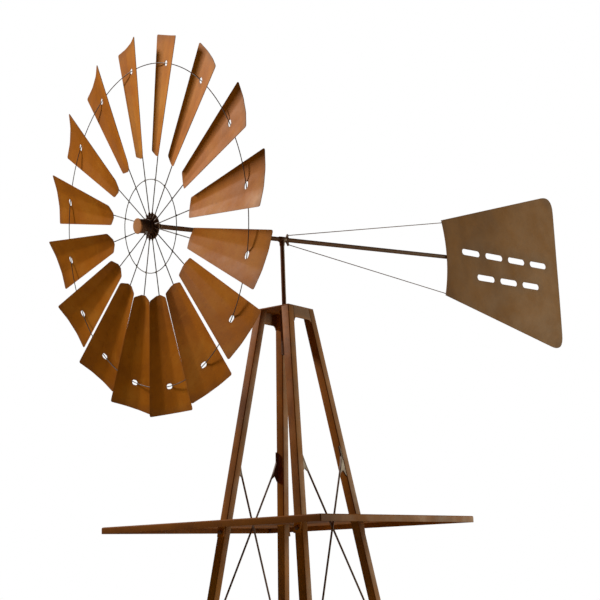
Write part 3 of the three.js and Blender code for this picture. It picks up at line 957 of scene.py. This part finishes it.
def brace_cross_weld(face_name, level_name, low, high, sx):
    half_low, half_high = (leg_edge(z) - BRACE_CLEARANCE for z in (low, high))
    cross = high - (high - low) * half_high / (half_low + half_high)
    out = half_width(cross) - LEG_SIZE / 2 + BRACE_OUTSET
    lump = blob((sx * out, 0, cross), (3.2, 2.6, 4.2), seed=len(level_name) + sx)
    name = f"brace_cross_weld_{face_name}_{level_name}"
    piece(name, "tower", "brace_steel", lump, TOWER, material=WELD)


def braces():
    for face_name, sx in SIDES.items():
        for level_name, (low, high) in BRACE_CROSSES.items():
            for end_name, sy in ENDS.items():
                brace(f"brace_{face_name}_{level_name}_{end_name}_high", low, high, sx, sy)
            brace_cross_weld(face_name, level_name, low, high, sx)


def tie_bar(name, sign, along_x):
    loops = []
    for share in (-1, -0.94, 0.94, 1):
        z = TIE_HEIGHT + share * TIE_DEPTH / 2
        ease = 0.6 if abs(share) == 1 else 0
        reach = leg_edge(z) + 0.4
        near = half_width(z) - TIE_THICK + ease
        far = half_width(z) - ease
        ring = [(-reach, near), (reach, near), (reach, far), (-reach, far)]
        if sign < 0:
            ring = [(a, -b) for a, b in reversed(ring)]
        if not along_x:
            ring = [(b, a) for a, b in reversed(ring)]
        loops.append([(a, b, z) for a, b in ring])
    piece(f"tie_bar_{name}", "tower", "tower_steel", loft(loops), TOWER, [f"tie_{name}"])


def tie_welds():
    heights = (TIE_HEIGHT - TIE_DEPTH / 2 + 1, TIE_HEIGHT + TIE_DEPTH / 2 - 1)
    welds = []
    for k, (_, sx, sy) in enumerate(corners()):
        for along_x in (True, False):
            ends = []
            for z in heights:
                across, out = leg_edge(z), half_width(z) - TIE_THICK - 0.4
                ends.append((sx * across, sy * out, z) if along_x else (sx * out, sy * across, z))
            welds.append(bead(*ends, WELD_R["tie"], seed=k * 2 + along_x + 50))
    piece("tie_welds", "tower", "tower_steel", merged(*welds), TOWER, material=WELD)


def ties():
    for along_x, group in ((True, ENDS), (False, SIDES)):
        for name, sign in group.items():
            tie_bar(name, sign, along_x)
    tie_welds()


def tower():
    for name, sx, sy in corners():
        leg(name, sx, sy)
        foot(name, sx, sy)
        deck_clip(name, sx, sy)
    cap()
    mast_bearing()
    deck()
    braces()
    ties()


# ---- wheel ------------------------------------------------------------
def blend(a, b, share):
    return a + (b - a) * share


def fold_height(x, y):
    """Forward height of the blade's middle surface: flat strip, then two edges folded forward."""
    share = (x - ROOT_R) / (TIP_X - ROOT_R)
    half = blend(ROOT_HALF, TIP_HALF, share)
    across = min(1.1, abs(y) / half)
    bend = max(0.0, across - FLAT_SHARE) / (1 - FLAT_SHARE)
    return BLADE_FORWARD + blend(ROOT_FOLD, TIP_FOLD, share) * (0.95 * bend + 0.05 * across ** 2)


def blade_outline():
    tip_steps, side_steps = 14, 12
    tip = [(TIP_X, TIP_HALF * (2 * k / tip_steps - 1)) for k in range(tip_steps + 1)]
    low, high = (ROOT_R + ROOT_SETBACK, -ROOT_HALF), (ROOT_R + ROOT_SETBACK, ROOT_HALF)
    flat_low, flat_high = (ROOT_R, -ROOT_HALF * ROOT_FLAT), (ROOT_R, ROOT_HALF * ROOT_FLAT)
    right = between(low, tip[0], side_steps)
    left = between(tip[-1], high, side_steps)
    return [
        *rounded_corner(flat_low, low, right[0], 3.5),
        *right,
        *rounded_corner(right[-1], tip[0], tip[1], 5),
        *tip[1:-1],
        *rounded_corner(tip[-2], tip[-1], left[0], 5),
        *left,
        *rounded_corner(left[-1], high, flat_high, 3.5),
        flat_high, (ROOT_R, 0), flat_low,
    ]


def blade_points():
    """Points inside the blade, on straight lines from root to tip."""
    points = []
    rows = 26
    strips = (0.1, 0.22, FLAT_SHARE - 0.025, FLAT_SHARE + 0.025, 0.5, 0.68, 0.86)
    for u in (*(-u for u in reversed(strips)), *strips):
        for k in range(1, rows):
            share = k / rows
            points.append((
                blend(ROOT_R + 4, TIP_X - 3, share), u * blend(ROOT_HALF, TIP_HALF, share),
            ))
    return points


def hole_outline():
    half_x, half_y = HOLE_HALF
    steps = 11
    points = []
    for start, centre in ((0, half_y - half_x), (math.pi, half_x - half_y)):
        for k in range(steps + 1):
            a = start + math.pi * k / steps
            points.append((RING_R + half_x * math.cos(a), centre + half_x * math.sin(a)))
    return points


def blades():
    shape = sheet(blade_outline(), [hole_outline()], blade_points(), fold_height, BLADE_THICK, 0.9)
    for i in range(BLADE_COUNT):
        place = WHEEL @ turn(-i * 360 / BLADE_COUNT, "Z") @ turn(-BLADE_PITCH, "X")
        name = f"{i + 1:02d}"
        piece(f"blade_sheet_{name}", "rotor", "blade_steel", shape, place, [f"blade_{name}"],
              sharp=40)


def around_wheel(make):
    """One shape from make(i) for each spoke, turned to its place and joined."""
    return merged(*(
        moved(make(i), turn(-i * 360 / BLADE_COUNT, "Z")) for i in range(BLADE_COUNT)
    ))


def spoke_weld(i):
    """Weld of one spoke to the flange and the barrel."""
    return merged(
        bead((BARREL_R + 1, 0, 1.0), (FLANGE_R + 2, 0, 0.4), WELD_R["hub"], seed=i + 70),
        blob((FLANGE_R, 0, 0), (4.6, 2.5, 2.0), seed=i + 20),
    )


def spoke_tacks(i):
    """Welds of one spoke to the back of its blade, on alternate sides."""
    return merged(*(
        blob((x, 1 if k % 2 else -1, 0.9), (4.2, 1.4, 1.0), seed=i * 4 + k)
        for k, x in enumerate(SPOKE_TACKS)
    ))


def spokes_and_rings():
    spokes = around_wheel(lambda i: rod((SPOKE_INNER, 0, 0), (SPOKE_OUTER, 0, 0), SPOKE_R))
    piece("spokes", "rotor", "wheel_wire", spokes, WHEEL, ["spoke_spider"])
    flange = turned_tube(BORE_R, FLANGE_R, *FLANGE_ENDS, 0.7, 64)
    dark = STEEL["fitting_steel"]
    piece("hub_flange", "rotor", "wheel_wire", flange, WHEEL, ["spoke_spider"], dark)
    welds = around_wheel(spoke_weld)
    piece("hub_spoke_welds", "rotor", "wheel_wire", welds, WHEEL, material=dark)
    tacks = around_wheel(spoke_tacks)
    piece("blade_tacks", "rotor", "wheel_wire", tacks, WHEEL, material=WELD)
    outer = hoop(RING_R, RING_WIRE_R, BLADE_FORWARD + 0.1, 256)
    piece("ring_outer_wire", "rotor", "wheel_wire", outer, WHEEL, ["outer_ring"])
    inner = merged(
        hoop(INNER_RING_R, RING_WIRE_R, INNER_RING_FORWARD, 128),
        around_wheel(lambda i: blob((INNER_RING_R, 0, 1.4), (2.3, 2.1, 1.9), seed=i)),
    )
    piece("ring_inner_wire", "rotor", "wheel_wire", inner, WHEEL, ["inner_ring"])


def hub():
    rear, front = BARREL_ENDS
    groove_rear, groove_front = BARREL_GROOVE
    barrel = lathe([
        (BARREL_R - 0.8, rear), (BARREL_R, rear + 0.8), (BARREL_R, groove_rear),
        (BARREL_R - 0.7, groove_rear + 0.7), (BARREL_R - 0.7, groove_front - 0.7),
        (BARREL_R, groove_front), (BARREL_R, front - 1), (BARREL_R - 1, front),
        (BARREL_CAVITY_R, front), (BARREL_CAVITY_R, rear + BARREL_BACK),
        (BORE_R, rear + BARREL_BACK), (BORE_R, rear),
    ], 64, closed=True)
    piece("hub_barrel_turned", "rotor", "fitting_steel", barrel, WHEEL, ["hub_barrel"])
    disc = turned(NOSE_R, *NOSE_ENDS, 0.8, 64)
    # the nose plate's pale colour carries painted light
    piece("hub_nose_plate", "rotor", "fitting_steel", disc, WHEEL, ["hub_nose_disc"], NOSE_RUST_PAINTED_LIGHT)
    out = Vector((*HUB_SCREW_WAY, 0))
    place = Vector((0, 0, HUB_SCREW_Z)) + out * (BARREL_R - 0.4)
    screw = moved(hex_head(2.6, 2.0, hollow=1.1), facing(place, place + out))
    # the set screw's near-white colour is a painted glint
    piece("hub_set_screw", "rotor", "fitting_steel", screw, WHEEL, material=SCREW_STEEL_PAINTED_GLINT)


def axle():
    bar = turned(ROD_R, -HUB_AHEAD + 0.6, AXLE_END, 0.8)
    piece("axle_bar", "head", "rod_steel", bar, WHEEL, ["axle"])
    low, high = NUT_ENDS
    nut = moved(hex_head(NUT_R, high - low, hollow=4.6), shift(0, 0, low))
    piece("axle_hex_nut", "head", "fitting_steel", nut, WHEEL, ["axle_nut"])
    collar = turned_tube(BORE_R, COLLAR_R, *COLLAR_ENDS, 0.9)
    piece("axle_collar", "head", "fitting_steel", collar, WHEEL, ["stop_collar"])
    z = sum(COLLAR_ENDS) / 2
    place = facing((COLLAR_R - 0.4, 0, z), (COLLAR_R + 2, 0, z))
    screw = moved(hex_head(3.2, 2.6, hollow=1.5), place)
    piece("axle_collar_screw", "head", "fitting_steel", screw, WHEEL)
    joint = blob((0, 0, -HUB_AHEAD), (6.3, 6.3, 3.4), seed=4, rings=9, sides=20)
    piece("axle_weld", "head", "fitting_steel", joint, WHEEL, material=WELD)


def wheel():
    blades()
    spokes_and_rings()
    hub()
    axle()


# ---- head -------------------------------------------------------------
def slot_outline(front, z):
    straight = VANE_SLOT_LENGTH / 2 - VANE_SLOT_HALF
    middle = front + VANE_SLOT_LENGTH / 2
    steps = 12
    points = []
    for start, centre in ((-90, middle + straight), (90, middle - straight)):
        for k in range(steps + 1):
            a = math.radians(start + 180 * k / steps)
            points.append((centre + VANE_SLOT_HALF * math.cos(a),
                           z + VANE_SLOT_HALF * math.sin(a)))
    return points


def vane_outline():
    front_low, front_high = ((VANE_FRONT_X, z) for z in VANE_FRONT_Z)
    rear_low, rear_high = ((VANE_REAR_X, z) for z in VANE_REAR_Z)
    low_round = rounded_corner(front_low, rear_low, rear_high, VANE_ROUNDS[0], 8)
    high_round = rounded_corner(rear_low, rear_high, front_high, VANE_ROUNDS[1], 8)
    middle = (VANE_FRONT_X + 2 * VANE_NOTCH, sum(VANE_FRONT_Z) / 2)
    notch = arch(front_high, middle, front_low, 16)[1:-1]
    return [
        front_low, *between(front_low, low_round[0], 12), *low_round,
        *between(low_round[-1], high_round[0], 10), *high_round,
        *between(high_round[-1], front_high, 12), front_high, *notch,
    ]


def vane_buckle(x, y):
    """Slight hand-made unevenness of the cut sheet, growing towards its free end."""
    share = (x - VANE_FRONT_X) / (VANE_REAR_X - VANE_FRONT_X)
    return 0.9 * share * noise.noise(Vector((x * 0.006, y * 0.007, 3.3)))


def vane():
    outline = vane_outline()
    holes = [
        slot_outline(front + i * VANE_SLOT_PITCH, z)
        for slots, front, z in VANE_SLOT_ROWS for i in range(slots)
    ]
    step, count = 22, 20
    grid = [
        (VANE_FRONT_X + i * step, VANE_REAR_Z[0] + k * step)
        for i in range(1, count + 1) for k in range(1, count + 1)
    ]
    shape = sheet(outline, holes, grid, vane_buckle, VANE_THICK, 5)
    place = HEAD @ shift(0, -(ROD_R + GAP + VANE_THICK / 2), 0) @ turn(90, "X")
    piece("vane_sheet", "head", "vane_steel", shape, place, ["tail_vane"], sharp=40)
    y = 0.4 - ROD_R
    beads = []
    for side in (1, -1):
        front, rear = (VANE_FRONT_X + 14, y, side * 3), (BOOM_TAIL, y, side * 3)
        beads.append(bead(front, rear, WELD_R["vane"], seed=side + 90))
    piece("vane_boom_welds", "head", "vane_steel", merged(*beads), BOOM, material=WELD)


def tail_wires():
    tilt = math.radians(BOOM_TILT)
    for name, sign in (("top", 1), ("bottom", -1)):
        start_x, start_z = LUG_REAR + 0.6, sign * WIRE_HOLD
        start = (start_x * math.cos(tilt) - start_z * math.sin(tilt), 0,
                 start_x * math.sin(tilt) + start_z * math.cos(tilt))
        corner = VANE_FRONT_Z[1] if sign > 0 else VANE_FRONT_Z[0]
        end = (VANE_FRONT_X + 12, -(ROD_R - WIRE_R), corner - sign * 4)
        wire = rod(start, end, WIRE_R)
        tack = blob(end, (4, 1.6, 1.9), seed=sign + 3)
        loop = blob(start, (2.4, 1.8, 1.8), seed=sign + 6)
        piece(f"tail_wire_{name}_rod", "head", "brace_steel", merged(wire, tack, loop), HEAD,
              [f"tail_wire_{name}"])


def wire_lugs():
    foot_z, weld_z = ROD_R - 0.8, ROD_R - 0.4
    outline = [
        (LUG_FRONT - 2, foot_z), (LUG_REAR + 1, foot_z), (LUG_REAR, LUG_REACH - 1),
        (LUG_REAR - 1, LUG_REACH), (LUG_REAR - 2.4, LUG_REACH), (LUG_FRONT, ROD_R + 2),
    ]
    ear = moved(slab(outline, LUG_THICK, 0.5), turn(90, "X") @ shift(0, 0, -LUG_THICK / 2))
    welds = []
    for y, seed in ((LUG_THICK / 2, 12), (-LUG_THICK / 2, 13)):
        front, rear = (LUG_FRONT - 1, y, weld_z), (LUG_REAR + 1, y, weld_z)
        welds.append(bead(front, rear, WELD_R["lug"], seed))
    for name, flip in (("top", Matrix.Identity(4)), ("bottom", turn(180, "X"))):
        shape = moved(merged(ear, *welds), flip)
        piece(f"wire_ear_{name}", "head", "fitting_steel", shape, BOOM, [f"wire_lug_{name}"])


def boom():
    bar = moved(turned(ROD_R, BOOM_NOSE + 0.6, BOOM_TAIL, 1.2), turn(90, "Y"))
    piece("boom_bar", "head", "rod_steel", bar, BOOM, ["boom"])


def mast():
    box_low, box_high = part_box("mast")
    low, high = ((z - TOWER_TOP * MM) / MM - BOOM_ABOVE_TOWER for z in (box_low.z, box_high.z))
    bar = turned(ROD_R, low, high, 0.8)
    piece("mast_bar", "head", "rod_steel", bar, HEAD, ["mast"])


def mast_tee():
    """Weld metal where the boom crosses the mast: a sleeve, a collar and two corner webs."""
    sleeve = moved(
        lathe([(ROD_R + 0.1, -TEE_HALF), (TEE_R - 0.2, -TEE_HALF + 2), (TEE_R, 0),
               (TEE_R - 0.2, TEE_HALF - 2), (ROD_R + 0.1, TEE_HALF)], 40),
        turn(90 - BOOM_TILT, "Y"),
    )
    stub = lathe([(ROD_R + 0.1, -TEE_STUB), (TEE_R - 0.6, -TEE_STUB + 3), (TEE_R - 0.2, -7),
                  (TEE_R - 0.2, -2)], 40)
    webs = []
    for side in (1, -1):
        outline = [(side * 4, -14), (side * 5.6, -9.4), (side * 7.6, -6.6), (side * 11.5, -5.2),
                   (side * 11.5, -3), (side * 4, -3)]
        if side < 0:
            outline.reverse()
        webs.append(moved(slab(outline, 5, 1), turn(90, "X") @ shift(0, 0, -2.5)))
    piece("mast_tee_weld", "head", "fitting_steel", merged(sleeve, stub, *webs), HEAD,
          ["mast_tee"], STEEL["rod_steel"])


def head():
    boom()
    mast()
    mast_tee()
    wire_lugs()
    tail_wires()
    vane()


tower()
wheel()
head()


# ---- studio -----------------------------------------------------------
def area_light(name, place, size, power, colour, spread):
    """Round soft light that faces the subject."""
    data = bpy.data.lights.new(name, "AREA")
    data.shape = "DISK"
    data.size = size
    data.energy = power
    data.color = colour
    data.spread = math.radians(spread)
    light = add_object(name, data)
    light.location = place
    light.rotation_mode = "QUATERNION"
    light.rotation_quaternion = (SUBJECT - place).to_track_quat("-Z", "Y")


def floor():
    half = FLOOR_HALF
    loops = [
        [(-half, -half, z), (half, -half, z), (half, half, z), (-half, half, z)]
        for z in (-0.02, -0.0005)
    ]
    n = Nodes("floor_pale")
    tone = n.noise(3, 3, 0.5)
    n.link(n.grey(tone, 0.2, 0.8, 0.68, 0.72), n.shader.inputs["Base Color"])
    n.shader.inputs["Roughness"].default_value = 0.9
    n.shader.inputs["Specular IOR Level"].default_value = 0.1
    obj = mesh_object("floor", loft(loops), n.material)


def world():
    """White for the camera; a dimmer soft white is what lights the object."""
    made = bpy.data.worlds.new("studio")
    bpy.context.scene.world = made
    made.use_nodes = True
    tree = made.node_tree
    shown = tree.nodes["Background"]
    shown.inputs["Color"].default_value = (1, 1, 1, 1)
    shown.inputs["Strength"].default_value = 1.0
    lighting = tree.nodes.new("ShaderNodeBackground")
    lighting.inputs["Color"].default_value = (1.0, 0.97, 0.93, 1)
    lighting.inputs["Strength"].default_value = WORLD_STRENGTH
    path = tree.nodes.new("ShaderNodeLightPath")
    mix = tree.nodes.new("ShaderNodeMixShader")
    tree.links.new(path.outputs["Is Camera Ray"], mix.inputs[0])
    tree.links.new(lighting.outputs[0], mix.inputs[1])
    tree.links.new(shown.outputs[0], mix.inputs[2])
    tree.links.new(mix.outputs[0], tree.nodes["World Output"].inputs["Surface"])


def studio():
    world()
    floor()
    area_light("key", KEY_PLACE, KEY_SIZE, KEY_POWER, (1, 0.95, 0.88), 180)
    area_light("right_panel", PANEL_PLACE, PANEL_SIZE, PANEL_POWER, (1, 0.95, 0.7), 120)
    bpy.context.scene.view_settings.view_transform = "Standard"


studio()
